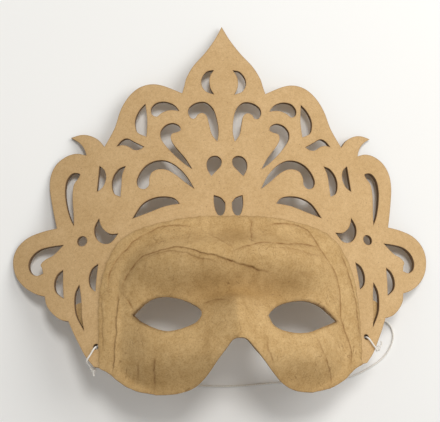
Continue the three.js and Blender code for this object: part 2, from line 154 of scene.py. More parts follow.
class Paint:
    """A material, with a short way to add each kind of node that it takes."""

    def __init__(self, name):
        self.material = bpy.data.materials.new(name)
        self.material.use_nodes = True
        self.nodes = self.material.node_tree.nodes
        self.links = self.material.node_tree.links
        self.shader = self.nodes["Principled BSDF"].inputs

    def put(self, socket, value):
        """Sets a number or a colour on a socket, or links another socket to it."""
        if isinstance(value, (int, float)):
            socket.default_value = value
        elif isinstance(value, tuple):
            socket.default_value = (*value, 1)
        else:
            self.links.new(value, socket)

    def add(self, kind, **inputs):
        """Adds a node, with a value or a link for each input named."""
        node = self.nodes.new(kind)
        for name, value in inputs.items():
            self.put(node.inputs[name], value)
        return node

    def place(self, squeeze=(1, 1, 1)):
        """Object coordinates, squeezed along each axis."""
        coordinates = self.add("ShaderNodeTexCoord").outputs["Object"]
        mapping = self.add("ShaderNodeMapping", Vector=coordinates)
        mapping.inputs["Scale"].default_value = squeeze
        return mapping.outputs["Vector"]

    def noise(self, place, scale, detail, roughness, distortion=0.0):
        """Smooth noise of 0 to 1, with so many grains to a metre."""
        inputs = {"Scale": scale, "Detail": detail, "Roughness": roughness, "Distortion": distortion}
        return self.add("ShaderNodeTexNoise", Vector=place, **inputs).outputs["Fac"]

    def cells(self, place, scale):
        """Distance to the nearest of many scattered points."""
        return self.add("ShaderNodeTexVoronoi", Vector=place, Scale=scale).outputs["Distance"]

    def attribute(self, name):
        """A value that the mesh holds at its vertices."""
        node = self.add("ShaderNodeAttribute")
        node.attribute_name = name
        return node.outputs["Fac"]

    def ramp(self, factor, stops):
        """Colours between stops of (position, colour)."""
        node = self.add("ShaderNodeValToRGB", Fac=factor)
        elements = node.color_ramp.elements
        while len(elements) < len(stops):
            elements.new(0.5)
        for element, (position, colour) in zip(elements, stops):
            element.position = position
            element.color = (*colour, 1)
        return node.outputs["Color"]

    def mask(self, factor, black, white):
        """0 where the factor reaches black, 1 where it reaches white, and even between."""
        return self.ramp(factor, sorted([(black, BLACK), (white, WHITE)]))

    def mix(self, factor, first, second, blend="MIX"):
        node = self.add("ShaderNodeMix")
        node.data_type = "RGBA"
        node.blend_type = blend
        self.put(node.inputs[0], factor)
        self.put(node.inputs[6], first)
        self.put(node.inputs[7], second)
        return node.outputs[2]

    def tint(self, base, strength, factor, stops):
        """Multiplies a colour by a ramp."""
        return self.mix(strength, base, self.ramp(factor, stops), "MULTIPLY")

    def maths(self, operation, first, second=0.0):
        node = self.add("ShaderNodeMath")
        node.operation = operation
        self.put(node.inputs[0], first)
        self.put(node.inputs[1], second)
        return node.outputs[0]

    def finish(self, colour, roughness, bumps=()):
        """Sets colour, roughness and (height, strength, distance) bumps, each on the last."""
        self.put(self.shader["Base Color"], colour)
        self.put(self.shader["Roughness"], roughness)
        socket = self.shader["Normal"]
        for height, strength, distance in reversed(bumps):
            node = self.add("ShaderNodeBump", Height=height, Strength=strength, Distance=distance)
            self.put(socket, node.outputs["Normal"])
            socket = node.inputs["Normal"]
        return self.material


# Colour ramps that paper is multiplied by
GRAIN_TINTS = [(0.36, (0.62, 0.56, 0.46)), (0.5, (0.95, 0.94, 0.92)), (0.68, (1.12, 1.12, 1.1))]
FIBRE_TINTS = [(0.3, (0.74, 0.68, 0.58)), (0.6, (1.06, 1.04, 1.0))]
SMUDGE_TINTS = [(0.36, (0.74, 0.66, 0.52)), (0.56, (1.03, 1.02, 1.0))]
WRINKLE_TINT = (0.45, 0.36, 0.24)
PAPER_ROUGHNESS = [(0.3, (0.9, 0.9, 0.9)), (0.7, (0.76, 0.76, 0.76))]


def wrinkles(paint, mottle):
    """Sparse thin wrinkles of dried paper: 1 along their middle, 0 away from them."""
    field = paint.noise(paint.place((1.5, 0.8, 1)), 62, detail=3, roughness=0.55, distortion=0.6)
    away = paint.maths("ABSOLUTE", paint.maths("SUBTRACT", field, 0.5))
    lines = paint.mask(away, black=0.011, white=0.0)
    where = paint.noise(paint.place((1, 1, 1.3)), 48, detail=2, roughness=0.5)
    sparse = paint.mask(where, black=0.5, white=0.6)
    broken = paint.mask(mottle, black=0.4, white=0.6)
    return paint.maths("MULTIPLY", paint.maths("MULTIPLY", lines, sparse), broken)


def off_flecks(paint, place, along):
    """0 on the flecks, which lie in patches, and 1 off them."""
    spots = paint.mask(paint.cells(along, 330), black=0.07, white=0.17)
    patches = paint.noise(place, 160, detail=2, roughness=0.5)
    bare = paint.mask(patches, black=0.62, white=0.5)
    return paint.mix(1.0, spots, bare, "SCREEN")


def kraft_material(name, light, dark, blotch, fleck, grain, layers=(), smudge=0.0, crinkle=0.0):
    """Kraft paper: fibres, flecks, grain and soft blotches.

    Each layer is (vertex value, colour, strength), painted broken up by the mottling."""
    paint = Paint(name)
    place = paint.place()
    along = paint.place((1, 2.6, 1))
    clouds = paint.noise(place, 55, detail=3, roughness=0.6)
    mottle = paint.noise(place, 420, detail=4, roughness=0.65)
    grains = paint.noise(place, 1150, detail=2, roughness=0.8)
    fibre = paint.noise(along, 1500, detail=3, roughness=0.7, distortion=1.2)
    base = paint.ramp(clouds, [(0.3, dark), (0.72, light)])
    base = paint.tint(base, 0.6, mottle, [(0.28, blotch), (0.66, WHITE)])
    base = paint.tint(base, grain, grains, GRAIN_TINTS)
    base = paint.tint(base, 0.45, fibre, FIBRE_TINTS)
    if smudge:
        across = paint.place((1.15, 0.8, 1))
        soaked = paint.noise(across, 190, detail=4, roughness=0.65, distortion=0.5)
        base = paint.tint(base, smudge, soaked, SMUDGE_TINTS)
    base = paint.mix(off_flecks(paint, place, along), fleck, base)
    broken = paint.maths("ADD", 0.3, paint.maths("MULTIPLY", mottle, 1.25))
    for value, colour, strength in layers:
        factor = paint.maths("MULTIPLY", paint.attribute(value), strength)
        factor = paint.maths("MULTIPLY", factor, broken)
        base = paint.mix(factor, base, colour, "MULTIPLY")
    bumps = [(mottle, 0.4, 0.00014), (fibre, 0.35, 0.00006)]
    if crinkle:
        veins = wrinkles(paint, mottle)
        base = paint.mix(paint.maths("MULTIPLY", veins, crinkle), base, WRINKLE_TINT, "MULTIPLY")
        bumps.append((paint.maths("SUBTRACT", 1.0, veins), crinkle, 0.00018))
    paint.put(paint.shader["Specular IOR Level"], 0.32)
    return paint.finish(base, paint.ramp(mottle, PAPER_ROUGHNESS), bumps)


KRAFT_BOARD = kraft_material(
    "kraft_board",
    light=(0.64, 0.445, 0.235),
    dark=(0.57, 0.385, 0.19),
    blotch=(0.84, 0.8, 0.73),
    fleck=(0.3, 0.18, 0.09),
    grain=0.32,
    layers=[("rim", (0.36, 0.27, 0.2), 0.5)],
)
KRAFT_PAPER = kraft_material(
    "kraft_paper",
    light=(0.63, 0.44, 0.218),
    dark=(0.535, 0.36, 0.163),
    blotch=(0.77, 0.71, 0.6),
    fleck=(0.26, 0.155, 0.07),
    grain=0.45,
    layers=[
        # paste stains, with painted shade under the brow, at the root of the nose and low on the cheeks
        ("stain_and_shade", (0.6, 0.52, 0.36), 0.9),
        # dark crease lines, with painted shadow on the lower side of each paper step
        ("crease_and_shadow", (0.37, 0.25, 0.13), 0.95),
        # darker cut edges, with painted shade of the cut wall at the eyes' outer corners
        ("cut_and_shade", (0.13, 0.08, 0.04), 0.95),
    ],
    smudge=0.37,
    crinkle=0.7,
)


def edge_material():
    """Laser-cut edge: scorched dark brown, with the board's layers along it."""
    paint = Paint("scorched_edge")
    layers = paint.noise(paint.place((1, 1, 3)), 900, detail=3, roughness=0.6)
    patches = paint.noise(paint.place(), 120, detail=3, roughness=0.6)
    dark = paint.ramp(layers, [(0.3, (0.05, 0.026, 0.012)), (0.7, (0.16, 0.088, 0.04))])
    return paint.finish(paint.mix(patches, dark, (0.2, 0.12, 0.06)), 0.85, [(layers, 0.5, 0.0001)])


def torn_material():
    """Torn or cut edge of the pasted paper: darker, with its layers showing."""
    paint = Paint("torn_edge")
    layers = paint.noise(paint.place((1, 1, 2)), 1100, detail=4, roughness=0.6)
    base = paint.ramp(layers, [(0.3, (0.2, 0.12, 0.05)), (0.7, (0.42, 0.28, 0.14))])
    return paint.finish(base, 0.9, [(layers, 0.6, 0.0002)])


def elastic_material():
    """White covered elastic: a fine braid round a round core."""
    paint = Paint("white_elastic")
    place = paint.place()
    braid = paint.cells(place, 2600)
    fuzz = paint.noise(place, 1800, detail=3, roughness=0.6)
    base = paint.ramp(fuzz, [(0.3, (0.69, 0.66, 0.6)), (0.65, (0.88, 0.85, 0.8))])
    paint.put(paint.shader["Sheen Weight"], 0.25)
    return paint.finish(base, 0.62, [(braid, 0.6, 0.00015), (fuzz, 0.3, 0.00005)])


SCORCHED_EDGE = edge_material()
TORN_EDGE = torn_material()
WHITE_ELASTIC = elastic_material()

# Which material a face of a sheet takes
FACE = 0
WALL = 1


# Geometry helpers
def bend(across, up, out):
    """Points of the flat board after bending, as an (n, 3) array."""
    angle = np.asarray(across) / BEND_RADIUS
    reach = BEND_RADIUS + np.asarray(out)
    return np.stack(
        [reach * np.sin(angle), np.broadcast_to(up, angle.shape), reach * np.cos(angle) - BEND_RADIUS],
        axis=-1,
    )


def board_height(x):
    """Depth of the bent board's front face below its middle, as a negative height."""
    return np.sqrt(BEND_RADIUS**2 - np.asarray(x) ** 2) - BEND_RADIUS


def smooth(t):
    s = np.clip(t, 0, 1)
    return s * s * (3 - 2 * s)


def bell(offset, width):
    return np.exp(-0.5 * (offset / width) ** 2)


def spline(row, gap):
    """Points about a gap apart on the smooth curve through a row, ends included."""
    row = np.asarray(row, float)
    padded = np.vstack([row[:1], row, row[-1:]])
    points = []
    for p0, p1, p2, p3 in zip(padded, padded[1:], padded[2:], padded[3:]):
        steps = max(int(np.linalg.norm(p2 - p1) / gap), 1)
        t = (np.arange(steps) / steps)[:, None]
        v0, v1 = (p2 - p0) / 2, (p3 - p1) / 2
        cubic = (2 * p1 - 2 * p2 + v0 + v1) * t**3
        points.append(cubic + (3 * p2 - 3 * p1 - 2 * v0 - v1) * t**2 + v0 * t + p1)
    return np.vstack([*points, row[-1:]])


def ring_of(rows, gap):
    """Closed ring of smooth rows that meet in corners."""
    return np.vstack([spline(row, gap)[:-1] for row in rows])


def mirrored(points):
    return (points * [-1, 1])[::-1]


def whole_ring(rows, gap):
    """Both halves of an outline whose right half runs between centre-line points."""
    right = np.vstack([ring_of(rows, gap), [rows[-1][-1]]])
    return np.vstack([right, mirrored(right)[1:-1]])


def circle(centre, radius, sides):
    angles = np.arange(sides) * 2 * math.pi / sides
    return np.asarray(centre) + radius * np.stack([np.cos(angles), np.sin(angles)], 1)


def unit(vectors):
    return vectors / np.linalg.norm(vectors, axis=1, keepdims=True)


def left_of(ahead):
    """Unit vectors to the left of the given flat directions."""
    return unit(np.stack([-ahead[:, 1], ahead[:, 0]], 1))


def smooth_noise(points, wide, high, slice_at):
    """Noise between about -1 and 1 at each flat point, with grains so wide and high."""
    return np.array([noise.noise(Vector((x / wide, y / high, slice_at))) for x, y in points])


def wobble(points, size, grain, slice_at):
    """Shifts points by smooth noise, for torn and hand-cut edges."""
    shifts = [noise.noise_vector(Vector((x / grain, y / grain, slice_at))) for x, y in points]
    return points + size * np.array([s[:2] for s in shifts])


def segments_of(path, closed=True):
    """Starts and ends of the straight pieces of a ring or a line."""
    if closed:
        return path, np.roll(path, -1, axis=0)
    return path[:-1], path[1:]


def line_distance(points, starts, ends, signed=False):
    """Distance from each point to the nearest piece; positive on the left if signed."""
    best = np.full(len(points), 1e9)
    side = np.ones(len(points))
    for a, b in zip(starts, ends):
        along = b - a
        t = np.clip(((points - a) @ along) / max(along @ along, 1e-12), 0, 1)
        away = points - a - t[:, None] * along
        distance = np.hypot(away[:, 0], away[:, 1])
        nearer = distance < best
        best[nearer] = distance[nearer]
        turn = along[0] * (points[:, 1] - a[1]) - along[1] * (points[:, 0] - a[0])
        side[nearer] = np.sign(turn[nearer])
    return best * side if signed else best


def distance_to(points, paths, closed=True):
    """Distance from each point to the nearest of several rings or lines."""
    starts, ends = zip(*(segments_of(path, closed) for path in paths))
    return line_distance(points, np.vstack(starts), np.vstack(ends))


def inside(points, rings):
    """Even-odd test against a set of closed rings."""
    crossings = np.zeros(len(points), int)
    x, y = points[:, 0], points[:, 1]
    for ring in rings:
        for (x0, y0), (x1, y1) in zip(*segments_of(ring)):
            if y0 == y1:
                continue
            spans = (y0 > y) != (y1 > y)
            crossings += spans & (x < x0 + (y - y0) * (x1 - x0) / (y1 - y0))
    return crossings % 2 == 1


def clear_of(points, rings, clearance):
    """The points that lie inside the rings and clear of them."""
    points = points[inside(points, rings)]
    return points[distance_to(points, rings) > clearance]


def scatter(rings, step, clearance, slice_at):
    """Staggered grid of points inside the rings, a little out of line."""
    corners = np.vstack(rings)
    low, high = corners.min(0), corners.max(0)
    rows = np.arange(low[1], high[1], step * GRID_ROW)
    points = []
    for k, y in enumerate(rows):
        xs = np.arange(low[0] + (k % 2) * step / 2, high[0], step)
        points.append(np.stack([xs, np.full(len(xs), y)], 1))
    points = wobble(np.vstack(points), step * GRID_STRAY, step * GRID_GRAIN, slice_at)
    return clear_of(points, rings, clearance)


def edge_band(rings, width):
    """Points a fixed width inside the material along every edge."""
    points = []
    for ring in rings:
        normal = left_of(np.roll(ring, -1, axis=0) - np.roll(ring, 1, axis=0))
        points += [ring + side * width * normal for side in (-1, 1)]
    return clear_of(np.vstack(points), rings, width * 0.8)


def triangulated(rings, points):
    """Fills the rings with triangles that use every given point."""
    corners, edges = [], []
    for ring in rings:
        first = len(corners)
        corners.extend(ring)
        edges += [(first + i, first + (i + 1) % len(ring)) for i in range(len(ring))]
    corners.extend(points)
    found, _, faces, *_ = delaunay_2d_cdt([Vector(p) for p in corners], edges, [], 0, 1e-5)
    found = np.array([tuple(p) for p in found])
    faces = np.array([face for face in faces if len(face) == 3])
    a, b, c = (found[faces[:, k]] for k in range(3))
    area = (b[:, 0] - a[:, 0]) * (c[:, 1] - a[:, 1]) - (b[:, 1] - a[:, 1]) * (c[:, 0] - a[:, 0])
    faces[area < 0] = faces[area < 0][:, ::-1]
    kept = inside((a + b + c) / 3, rings) & (np.abs(area) > 1e-7)
    return found, faces[kept]


def closed_sheet(faces, front, back):
    """A sheet between two copies of the same triangles, with walls round its edges.

    Returns its vertices with its faces, and which of the given points it uses."""
    used = np.unique(faces)
    renumber = np.full(len(front), -1)
    renumber[used] = np.arange(len(used))
    faces = renumber[faces]
    count = len(used)
    directed = {(a, b) for face in faces for a, b in zip(face, np.roll(face, -1))}
    rim = sorted((a, b) for a, b in directed if (b, a) not in directed)
    vertices = np.vstack([front[used], back[used]])
    sheets = [(face, FACE) for face in faces] + [(count + face[::-1], FACE) for face in faces]
    walls = [((b, a, a + count, b + count), WALL) for a, b in rim]
    return (vertices, sheets + walls), used


def build(name, parts, materials, values, replaces, sharp=0.6):
    """One object from parts of (vertices, [(face, material)]), with vertex values."""
    faces, indices, first = [], [], 0
    for part_vertices, part_faces in parts:
        for face, index in part_faces:
            faces.append([first + int(i) for i in face])
            indices.append(index)
        first += len(part_vertices)
    vertices = np.vstack([part[0] for part in parts])
    rows = vertices @ np.array(TO_ROW.to_3x3()).T + np.array(TO_ROW.to_translation())
    mesh = bpy.data.meshes.new(name)
    mesh.from_pydata(rows.tolist(), [], faces)
    for material in materials:
        mesh.materials.append(material)
    mesh.polygons.foreach_set("material_index", indices)
    mesh.polygons.foreach_set("use_smooth", [True] * len(faces))
    for key, numbers in values.items():
        layer = mesh.attributes.new(key, "FLOAT", "POINT")
        layer.data.foreach_set("value", np.asarray(numbers, float))
    mesh.validate()
    mesh.update()
    mesh.set_sharp_from_angle(angle=sharp)
    piece = add_object(name, mesh)
    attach(piece, "root")
    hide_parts(*replaces)
    return piece


# Fretwork board: right half laid flat, clockwise from the tip of the finial
BOARD_EDGE = [
    [(0, 107.5), (4.2, 99.6), (9.8, 91.6), (16.4, 84), (20.4, 77), (21.8, 71.8), (23, 68)],
    [(23, 68), (33.5, 73), (40.5, 74.2), (47, 72.4), (52.6, 67.6), (57, 60.4), (60.6, 50), (66.3, 40.2)],
    [(66.3, 40.2), (70, 44.8), (75, 47.8), (80, 48.8), (85.7, 47.9)],
    [(85.7, 47.9), (81, 44.6), (78, 40.6), (76.6, 36.4)],
    [(76.6, 36.4), (82, 38.2), (88, 37.6), (94, 34.2), (97.6, 28.4), (98.4, 20.5), (96.6, 9), (94, -2.8)],
    [
        (94, -2.8), (103, -3.5), (112, -5.5), (118.6, -10), (121.4, -16.6),
        (119.8, -25), (114.6, -32), (107.6, -37), (101.3, -39.5),
    ],
    [(101.3, -39.5), (100, -44.8), (96.2, -49.8), (91.8, -53.2), (87.3, -54.6)],
    [(87.3, -54.6), (84.2, -61.6), (80.8, -68.4), (77.6, -74.4), (73.2, -80)],
    [(73.2, -80), (63, -82.6)],
    [(63, -82.6), (62.5, -62), (61.5, -45), (58.5, -30.5), (51.5, -20), (38, -13.6), (20, -11.4), (0, -11)],
]
PIERCINGS = {
    "finial crescent": [
        [(5.2, 81.4), (9, 80.6), (11.8, 77), (12.2, 72.8), (10, 68.8), (5.6, 67)],
        [(5.6, 67), (7.4, 70.6), (7.9, 74.4), (7.3, 78), (5.2, 81.4)],
    ],
    "centre crook": [[
        (4.8, 39.6), (3.9, 45), (4.5, 52), (6.4, 58.6), (10.4, 62.4), (15.4, 62.2),
        (19.2, 59.6), (20, 56.2), (18.4, 53.2), (16.2, 53.2), (15, 55.2), (12.4, 56.2),
        (10, 54.4), (8.8, 49.4), (7.6, 43.8), (4.8, 39.6),
    ]],
    "shoulder hook": [[
        (24.8, 57.7), (27.6, 61.4), (32.6, 63.5), (37.4, 62.9), (40, 60),
        (39.8, 56.6), (37.2, 55), (34.4, 57), (30, 58.4), (24.8, 57.7),
    ]],
    "shoulder half moon": [
        [(43.2, 63), (46.4, 59.6), (48.7, 55), (49, 50.6), (47.6, 46.4), (43, 43.8)],
        [(43, 43.8), (42.4, 53), (43.2, 63)],
    ],
    "leaning crook": [[
        (18.8, 24), (23, 27.2), (28, 32.2), (32.4, 37.6), (35, 42), (35.2, 46.2),
        (32.6, 49.6), (28.6, 50.8), (25.2, 49.2), (24.4, 46.6), (26.6, 45.4), (29.2, 44.6),
        (29.8, 41.8), (27.8, 37.6), (22.4, 30.4), (18.8, 24),
    ]],
    "shoulder leaf": [
        [(44.4, 38.1), (49.4, 41.2), (53.4, 43.6), (56.6, 42.8), (59.5, 39.6)],
        [(59.5, 39.6), (56.2, 40.1), (52.8, 38.8), (50, 36.8), (47, 36.6), (44.4, 38.1)],
    ],
    "centre drop": [[
        (8.6, 19.8), (6.2, 22.4), (3.4, 25.6), (3, 29), (5.4, 31.2),
        (8.8, 30.6), (10.8, 27.6), (10.6, 23.6), (8.6, 19.8),
    ]],
    "great hook": [[
        (18, 12.8), (21.2, 19), (25, 24), (29.4, 27.7), (34, 29.6), (39, 29.4), (43.6, 27.2),
        (46.9, 23.4), (48.7, 18.8), (47.6, 15.2), (44.6, 14), (42.2, 16), (41.9, 19.8),
        (40.4, 23.2), (36.8, 24.7), (32.2, 24), (27.6, 21), (23, 16.8), (18, 12.8),
    ]],
    "half moon": [
        [(54.6, 27.9), (58.4, 26.6), (61.4, 22.8), (62.4, 18), (61.2, 13), (57.8, 10.8)],
        [(57.8, 10.8), (57.2, 17), (56.6, 23), (54.6, 27.9)],
    ],
    "narrow half moon": [
        [(70.8, 14.9), (67.4, 17.4), (65.6, 22), (66.4, 26.6), (69.2, 29.5)],
        [(69.2, 29.5), (70.8, 14.9)],
    ],
    "long drop": [[
        (84, -2.8), (86.4, 2.4), (88.4, 10), (89.2, 18), (88, 24), (84.6, 27.2),
        (80.4, 26.2), (81.6, 23.6), (84, 20.6), (84.8, 14), (84.2, 4), (84, -2.8),
    ]],
    "temple crescent": [
        [(69.7, -0.2), (72.3, -5), (71.8, -10.2), (68.4, -14), (63.4, -14.3), (59.2, -9.6)],
        [(59.2, -9.6), (63.4, -9.4), (66.9, -7), (68.9, -3.6), (69.7, -0.2)],
    ],
    "brow leaf": [
        [(26, 4.8), (29, 8), (34.6, 9.2), (40.8, 8.4), (46.4, 5.2), (51.4, -2)],
        [(51.4, -2), (43, 0.6), (34, 3.6), (26, 4.8)],
    ],
    "centre slot": [
        [(1.8, 4.8), (4, 7.6), (7.7, 9)],
        [(7.7, 9), (7.8, 4.4), (7, 0.2), (5.6, -2.2), (3.6, -2.2), (2, 0.6), (1.8, 4.8)],
    ],
    "side hook": [
        [
            (90, -12.6), (97, -12.5), (104, -13.2), (109, -16),
            (111.4, -20.4), (110.2, -25), (106.4, -27.4), (102.4, -26.8),
        ],
        [(102.4, -26.8), (102.9, -24), (103.8, -21.6), (101, -19.3), (96, -17.4), (90, -12.6)],
    ],
    "lower half moon": [
        [(90.4, -26.3), (93.8, -28.6), (95.6, -33), (94.6, -38), (90, -42)],
        [(90, -42), (90.4, -34), (90.4, -26.3)],
    ],
    "temple half moon": [
        [(70.3, -25.3), (73.8, -27.6), (75.6, -32.4), (74.8, -37.4), (72, -40.2)],
        [(72, -40.2), (71.4, -33), (70.3, -25.3)],
    ],
    "arm slot": [
        [(81, -35.5), (83.4, -40), (83.8, -46), (82.6, -52.6), (78.4, -60.6)],
        [(78.4, -60.6), (79.6, -53), (79.9, -44), (81, -35.5)],
    ],
}
ROUND_HOLE = ((79.3, -11.8), 2.8)
HOLE_SIDES = 28
WARP_GRAIN = 38
SCORCH_ROW = 0.5  # how far inside the edge the mesh has a row of points
SCORCH_REACH = 0.55  # where the smoke of the laser has faded
BOARD_MARGIN = 1.2  # between the edge and the grid


def board_rings():
    """Outline, piercings and elastic holes of the board, laid flat."""
    openings = [ring_of(rows, PIERCING_STEP) for rows in PIERCINGS.values()]
    openings.append(circle(*ROUND_HOLE, HOLE_SIDES))
    rings = [whole_ring(BOARD_EDGE, BOARD_STEP)]
    for ring in openings:
        rings += [ring, mirrored(ring)]
    right_hole, left_hole = (circle(HOLE_AT[side], HOLE_RADIUS, HOLE_SIDES) for side in (1, -1))
    return [*rings, right_hole, mirrored(left_hole)]


def make_board():
    rings = board_rings()
    grid = scatter(rings, BOARD_GRID, BOARD_MARGIN, SLICE["board grid"])
    flat, faces = triangulated(rings, np.vstack([edge_band(rings, SCORCH_ROW), grid]))
    warp = BOARD_WARP * smooth_noise(flat, WARP_GRAIN, WARP_GRAIN, SLICE["board warp"])
    front = bend(flat[:, 0], flat[:, 1], warp - PASTE_GAP)
    back = bend(flat[:, 0], flat[:, 1], warp - BOARD_THICKNESS)
    sheet, used = closed_sheet(faces, front, back)
    scorched = np.clip(1 - distance_to(flat[used], rings) / SCORCH_REACH, 0, 1)
    values = {"rim": np.tile(scorched, 2)}
    return build(
        "fretwork_board", [sheet], [KRAFT_BOARD, SCORCHED_EDGE], values, ["fretwork_crown"]
    )


# Half mask: right half of its outline, then the two hand-cut eyes
RIM_EDGE = [
    (0, -2.8), (18, -3), (35, -5.2), (49, -8.8), (58, -14.4), (64, -24), (67.6, -36), (69, -50),
    (69.2, -66), (68.8, -81.2),
]
CHEEK_EDGE = [(68.8, -81.2), (63.8, -84.4), (57.8, -90), (50, -94.4), (40, -97)]
NOSE_EDGE = {
    1: [
        (40, -97), (31.5, -96.8), (24.6, -94.6), (18.8, -90.2),
        (13, -84.6), (7.4, -78.8), (3.4, -74.9), (0, -74.4),
    ],
    -1: [
        (40, -97), (30.4, -97.3), (22.2, -95.6), (16.4, -91.2),
        (11.4, -84.9), (6.6, -78.6), (3.3, -74.9), (0, -74.4),
    ],
}
RIGHT_EYE = [
    [
        (54.9, -59.3), (50.3, -61.8), (45, -64.6), (38.9, -67.6),
        (32, -69), (24, -68.2), (18.8, -65.4), (16.6, -60.2),
    ],
    [
        (16.6, -60.2), (19, -56.6), (23.2, -53.1), (29.4, -50.6),
        (35.6, -49.6), (41.1, -50.1), (46.8, -52.6), (54.9, -59.3),
    ],
]
LEFT_EYE = [
    [
        (50.9, -55.2), (47.5, -59.4), (42.7, -63.1), (37.9, -65.8),
        (33, -66.8), (25, -65.2), (20.2, -62.9), (17.5, -59.4),
    ],
    [
        (17.5, -59.4), (17.6, -56.2), (20.2, -52.8), (24.6, -49.9),
        (30.1, -47.8), (36.6, -46.9), (43.4, -48.6), (50.9, -55.2),
    ],
]
FLAP_EDGE = [
    [(55.6, -46), (79, -44.6), (84.8, -46.4)],
    [(84.8, -46.4), (83.8, -54), (80.6, -62.4), (75.6, -71.4), (70.6, -77.4)],
    [(70.6, -77.4), (57, -79.6)],
    [(57, -79.6), (55.6, -46)],
]

# Edges of the pasted strips and creases in them: (points, step, how dark the crease and its painted shadow
# are).
# The paper on the left of a line, going along it, stands proud by the step.
SEAMS = [
    # left side of the picture
    ([
        (-64.4, -40.9), (-63.4, -34.1), (-61.6, -28.1), (-58, -23), (-53.6, -18.6),
        (-49.9, -14.7), (-45.1, -11.9), (-37.2, -8.4), (-28.3, -7.8), (-19, -8.9),
    ], 0.22, 0.6),
    ([
        (-58.2, -40.8), (-54.8, -34.6), (-48.1, -26.7), (-43.1, -24.8), (-36.6, -23.8),
        (-29.4, -23.3), (-23.8, -25), (-16.7, -27.8), (-9.5, -30), (-1, -32.4),
        (4.3, -33.8), (8.8, -34.9), (11.8, -36.5), (17.8, -36.7),
    ], 0.3, 0.85),
    ([
        (-46.5, -27.6), (-41, -26.2), (-36, -25.5), (-32.4, -25.4),
        (-25.3, -27), (-19.6, -29.8), (-13.9, -31.2), (-9.6, -32.6),
    ], 0.12, 0.6),
    ([(-50.8, -53.4), (-52.6, -49.7), (-54.3, -46.4), (-56.1, -43.5)], 0.12, 0.8),
    ([
        (-58.7, -42.2), (-59.1, -48.3), (-59.4, -52.9), (-60.4, -63.4), (-61.2, -74.5), (-61.9, -84.9),
    ], 0.42, 0.55),
    ([(-67.6, -42.8), (-67.4, -52), (-67.1, -59.7), (-66.9, -67.2), (-67.2, -73.2)], 0.15, 0.4),
    ([(-40.5, -79.1), (-41.5, -83), (-41.1, -88.2), (-41.3, -94.6)], 0.12, 0.8),
    ([(-48.9, -79.5), (-49.5, -84.5), (-49.6, -90.2)], 0.09, 0.6),
    ([(-44.5, -28.3), (-45.1, -32.3), (-44.6, -35.6)], 0.06, 0.5),
    ([(-20.5, -11.8), (-22.2, -16.7), (-24, -20.7)], 0.08, 0.4),
    # middle
    ([(-16.1, -52.9), (-12.9, -51.4), (-8.1, -51.3), (-4, -53)], -0.12, 0.8),
    ([(8.5, -22.9), (9.9, -19.6), (10.6, -12.1), (12, -6.6), (10.2, -3.5)], 0.2, 0.8),
    ([(-0.6, -26.9), (-3.4, -23.7), (-7.8, -18.7), (-11.5, -14)], 0.15, 0.5),
    # right side of the picture
    ([
        (19.5, -8.6), (23.5, -7.2), (28.3, -6.3), (33.7, -6.9), (39.2, -8.2), (43.8, -12),
        (47.3, -17.5), (50.7, -23.9), (54.5, -29.1), (57.4, -35), (58.5, -42.7), (58.3, -50.5),
        (58.2, -57.5), (59.7, -64.3), (62, -70.3), (62.6, -77.9), (61.9, -83.6),
    ], 0.22, 0.6),
    ([
        (0.1, -26.9), (6.2, -24.6), (12.3, -22.8), (20.1, -21.9),
        (27.2, -21.5), (35.6, -20.1), (42.8, -18.9), (47, -19.3),
    ], 0.24, 0.8),
    ([(22, -24.8), (27.6, -24.4), (32.3, -24.7), (38, -25.5), (43.1, -25.7), (48.8, -24.6)], 0.12, 0.6),
    ([(34.3, -35.7), (36.7, -35.9), (39.3, -35.8)], 0.08, 0.9),
    ([(61, -21.2), (64.3, -32.1), (66.4, -41.3), (67.6, -51.3), (68, -59.8), (67.9, -68)], 0.2, 0.7),
    ([(41.8, -71.8), (44.6, -77.5), (48, -84.1), (49.9, -87.8), (50.1, -93.6)], 0.13, 0.65),
    ([(14.2, -73), (14.4, -78.5), (16.4, -82.5), (17.6, -86.6)], 0.1, 0.6),
    ([(54.2, -58.4), (56.4, -58.8), (58.2, -59.4)], 0.12, 0.9),
]

# How a seam looks: heights and widths in millimetres
SEAM_DEPTH = 1.6  # of a seam whose step is 1
SEAM_RISE = 0.5  # over which the proud paper starts
SEAM_FADE = 5  # over which it sinks back, and at a seam's two tips
GROOVE_DEPTH = 0.14
GROOVE_WIDTH = 0.35
CREASE_AND_SHADOW_BANDS = [(0.75, 0, 0.22), (0.25, -0.4, 0.6)]  # dark crease line, then painted shadow on its lower side: (depth, offset from the line, half width)
STEP_SHADOW_DEPTH = 0.14  # of the painted shadow that darkens the lower side of a step
STEP_SHADOW_WIDTH = 2.8
WEAR_GRAIN = 2.6
SEAM_ROWS = (-0.8, -0.35, 0.0, 0.35, 0.8)  # rows of mesh points beside a seam

# How far each torn or cut line strays, and the grain of its wavering
RIM_TEAR = (0.5, 2.4)
CHEEK_CUT = (0.22, 3.0)
EYE_CUT = (0.15, 2.2)
FLAP_CUT = (0.3, 3.0)
SEAM_WAVER = (0.8, 6.5)
SEAM_TEARING = (0.35, 1.6)

# Room between the edges or seams and the mesh points inside them
FACE_MARGIN = 0.7
FACE_EDGE_ROW = 0.45
SEAM_MARGIN = 1.2
SEAM_CLEARANCE = 0.4
FLAP_MARGIN = 0.8
FLAP_HOLE_SIDES = 20

# Distances from the torn rim, or heights of relief, over which something grows
RIM_REACH = 7  # the rim's thickness
LUMP_START = 2  # lumps and wrinkles
DETAIL_START = 6  # carved forms
SHELL_START = 5  # the shell's own thickness
LEAST_THICKNESS = 0.3

# Temples of the half mask
FLAP_START = 61  # where they leave the shell
FLAP_SWING = 4.6  # the way in which they reach it
FLAP_OVERLAP = 0.4
FLAP_LUMPS = 0.6

# Outer corner of an eye, where the painted shade of its cut wall is darkest
EYE_CORNER = (50, -55)
EYE_CORNER_SPREAD = (9, 7)

# How dark the back is beside the front
BACK_CREASE = 0.3
BACK_CUT = 0.5

